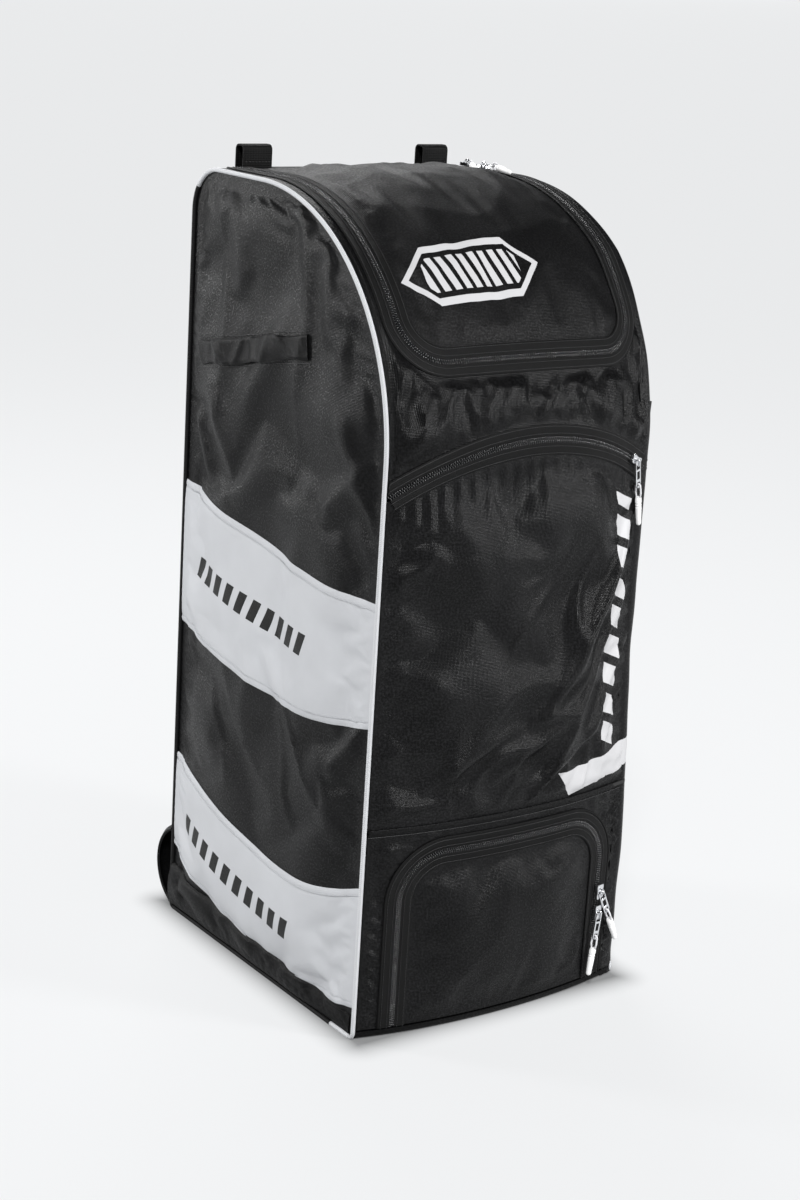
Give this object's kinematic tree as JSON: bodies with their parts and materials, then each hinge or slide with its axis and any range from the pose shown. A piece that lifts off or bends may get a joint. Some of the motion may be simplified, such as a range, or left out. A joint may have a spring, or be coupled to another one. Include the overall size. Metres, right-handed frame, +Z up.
{
  "type": "sports equipment bag",
  "caption": "Upright stand-up kit bag with a domed zip lid, arched front pocket, zip base flap, piped sides with silver bands, grab handles, hang loops and shoulder straps.",
  "frame": {"origin": "middle of the base, on the surface the bag stands on", "axes": "+Z up the bag, front faces -Y, +X to the right seen from the front"},
  "size_m": [0.38, 0.4967, 0.9263],
  "materials": {
    "shell_fabric": "black polyester in a fine diagonal weave, coated inside",
    "lining_fabric": "plain dark lining",
    "band_fabric": "smooth silver-grey coated fabric",
    "piping_trim": "light grey woven piping",
    "zip_tape": "black woven tape with black nylon teeth",
    "webbing": "black ribbed webbing",
    "pad_mesh": "black spacer mesh over foam",
    "heel_fabric": "black coated fabric over foam",
    "board_plastic": "stiff board",
    "buckle_plastic": "moulded black plastic",
    "grip_rubber": "white moulded grip on a white cord loop",
    "slider_metal": "bright nickel plate"
  },
  "bodies": {
    "bag": {"base_panel": "shell_fabric", "base_board": "board_plastic", "side_panel_left": "shell_fabric", "side_panel_right": "shell_fabric", "side_band_upper_left": "band_fabric", "side_band_upper_right": "band_fabric", "side_band_lower_left": "band_fabric", "side_band_lower_right": "band_fabric", "piping_left": "piping_trim", "piping_right": "piping_trim", "lower_front_surround": "shell_fabric", "pocket_cheek_left": "shell_fabric", "pocket_cheek_right": "shell_fabric", "pocket_inner_wall": "lining_fabric", "divider_shelf": "lining_fabric", "yoke_panel": "shell_fabric", "lid_side_strip_left": "shell_fabric", "lid_side_strip_right": "shell_fabric", "rear_top_panel": "shell_fabric", "back_panel": "shell_fabric", "back_board": "board_plastic", "back_pad": "pad_mesh", "heel_guard": "heel_fabric", "hang_loop_left": "webbing", "hang_loop_right": "webbing", "side_handle_left": "shell_fabric", "side_handle_right": "shell_fabric", "shoulder_strap_left": "pad_mesh", "shoulder_strap_right": "pad_mesh", "strap_webbing_left": "webbing", "strap_webbing_right": "webbing", "strap_buckle_left": "buckle_plastic", "strap_buckle_right": "buckle_plastic", "lid_zip_body_half": "zip_tape", "pocket_zip_upper_half": "zip_tape", "pocket_zip_ends": "zip_tape", "flap_zip_body_half": "zip_tape"},
    "lid": {"lid_panel": "shell_fabric", "lid_zip_lid_half": "zip_tape"},
    "pocket_front": {"pocket_face": "shell_fabric", "pocket_zip_face_half": "zip_tape"},
    "base_flap": {"base_flap": "shell_fabric", "flap_zip_flap_half": "zip_tape"},
    "lid_front_slider": {"lid_front_slider": "slider_metal"},
    "lid_front_tab": {"lid_front_tab": "slider_metal"},
    "lid_front_grip": {"lid_front_grip": "grip_rubber"},
    "lid_rear_slider": {"lid_rear_slider": "slider_metal"},
    "lid_rear_tab": {"lid_rear_tab": "slider_metal"},
    "lid_rear_grip": {"lid_rear_grip": "grip_rubber"},
    "pocket_slider": {"pocket_slider": "slider_metal"},
    "pocket_tab": {"pocket_tab": "slider_metal"},
    "pocket_grip": {"pocket_grip": "grip_rubber"},
    "flap_upper_slider": {"flap_upper_slider": "slider_metal"},
    "flap_upper_tab": {"flap_upper_tab": "slider_metal"},
    "flap_upper_grip": {"flap_upper_grip": "grip_rubber"},
    "flap_lower_slider": {"flap_lower_slider": "slider_metal"},
    "flap_lower_tab": {"flap_lower_tab": "slider_metal"},
    "flap_lower_grip": {"flap_lower_grip": "grip_rubber"}
  },
  "joints": [
    {"name": "lid_hinge", "type": "hinge", "parent": "bag", "child": "lid", "pos_m": [0, 0.1575, 0.9], "axis": [-1, 0, 0], "range_deg": [0, 95]},
    {"name": "pocket_front_hinge", "type": "hinge", "parent": "bag", "child": "pocket_front", "pos_m": [0, -0.2245, 0.2453], "axis": [1, 0, 0], "range_deg": [0, 10]},
    {"name": "base_flap_hinge", "type": "hinge", "parent": "bag", "child": "base_flap", "pos_m": [0, -0.2245, 0.01], "axis": [1, 0, 0], "range_deg": [0, 70]},
    {"name": "lid_front_slider_run", "type": "slide", "parent": "lid", "child": "lid_front_slider", "axis": [0.0005, -0.9998, 0.0174], "range_m": [0, 0.05]},
    {"name": "lid_front_tab_swing", "type": "hinge", "parent": "lid_front_slider", "child": "lid_front_tab", "pos_m": [0.15623, 0.10964, 0.90893], "axis": [-0.97, 0.2419, 0.0231], "range_deg": [0, 150]},
    {"name": "lid_front_grip_swing", "type": "hinge", "parent": "lid_front_tab", "child": "lid_front_grip", "pos_m": [0.14887, 0.08005, 0.90965], "axis": [-0.97, 0.2419, 0.0231], "range_deg": [0, 45]},
    {"name": "lid_rear_slider_run", "type": "slide", "parent": "lid", "child": "lid_rear_slider", "axis": [-0.0002, 0.9998, -0.0174], "range_m": [0, 0.005]},
    {"name": "lid_rear_tab_swing", "type": "hinge", "parent": "lid_rear_slider", "child": "lid_rear_tab", "pos_m": [0.15608, 0.14164, 0.90838], "axis": [-0.8661, 0.4999, -0.0006], "range_deg": [0, 90]},
    {"name": "lid_rear_grip_swing", "type": "hinge", "parent": "lid_rear_tab", "child": "lid_rear_grip", "pos_m": [0.14083, 0.11523, 0.90898], "axis": [-0.8661, 0.4999, -0.0006], "range_deg": [0, 45]},
    {"name": "pocket_slider_run", "type": "hinge", "parent": "bag", "child": "pocket_slider", "pos_m": [0, -0.10224, 0.36347], "axis": [0, 0.9236, 0.3834], "range_deg": [-56, 0]},
    {"name": "pocket_tab_swing", "type": "hinge", "parent": "pocket_slider", "child": "pocket_tab", "pos_m": [0.15162, -0.21807, 0.62338], "axis": [-0.9641, -0.197, -0.178], "range_deg": [0, 150]},
    {"name": "pocket_grip_swing", "type": "hinge", "parent": "pocket_tab", "child": "pocket_grip", "pos_m": [0.15694, -0.21698, 0.59337], "axis": [-0.9641, -0.197, -0.178], "range_deg": [0, 45]},
    {"name": "flap_upper_slider_run", "type": "slide", "parent": "base_flap", "child": "flap_upper_slider", "axis": [0, 0, 1], "range_m": [0, 0.03]},
    {"name": "flap_upper_tab_swing", "type": "hinge", "parent": "flap_upper_slider", "child": "flap_upper_tab", "pos_m": [0.14149, -0.22005, 0.118], "axis": [-0.8758, -0.1641, -0.454], "range_deg": [0, 150]},
    {"name": "flap_upper_grip_swing", "type": "hinge", "parent": "flap_upper_tab", "child": "flap_upper_grip", "pos_m": [0.1551, -0.2175, 0.09082], "axis": [-0.8758, -0.1641, -0.454], "range_deg": [0, 45]},
    {"name": "flap_lower_slider_run", "type": "slide", "parent": "base_flap", "child": "flap_lower_slider", "axis": [0, 0, -1], "range_m": [0, 0.014]},
    {"name": "flap_lower_tab_swing", "type": "hinge", "parent": "flap_lower_slider", "child": "flap_lower_tab", "pos_m": [0.14149, -0.22005, 0.092], "axis": [-0.9733, -0.1823, 0.1392], "range_deg": [0, 150]},
    {"name": "flap_lower_grip_swing", "type": "hinge", "parent": "flap_lower_tab", "child": "flap_lower_grip", "pos_m": [0.13732, -0.22083, 0.0618], "axis": [-0.9733, -0.1823, 0.1392], "range_deg": [0, 45]}
  ]
}
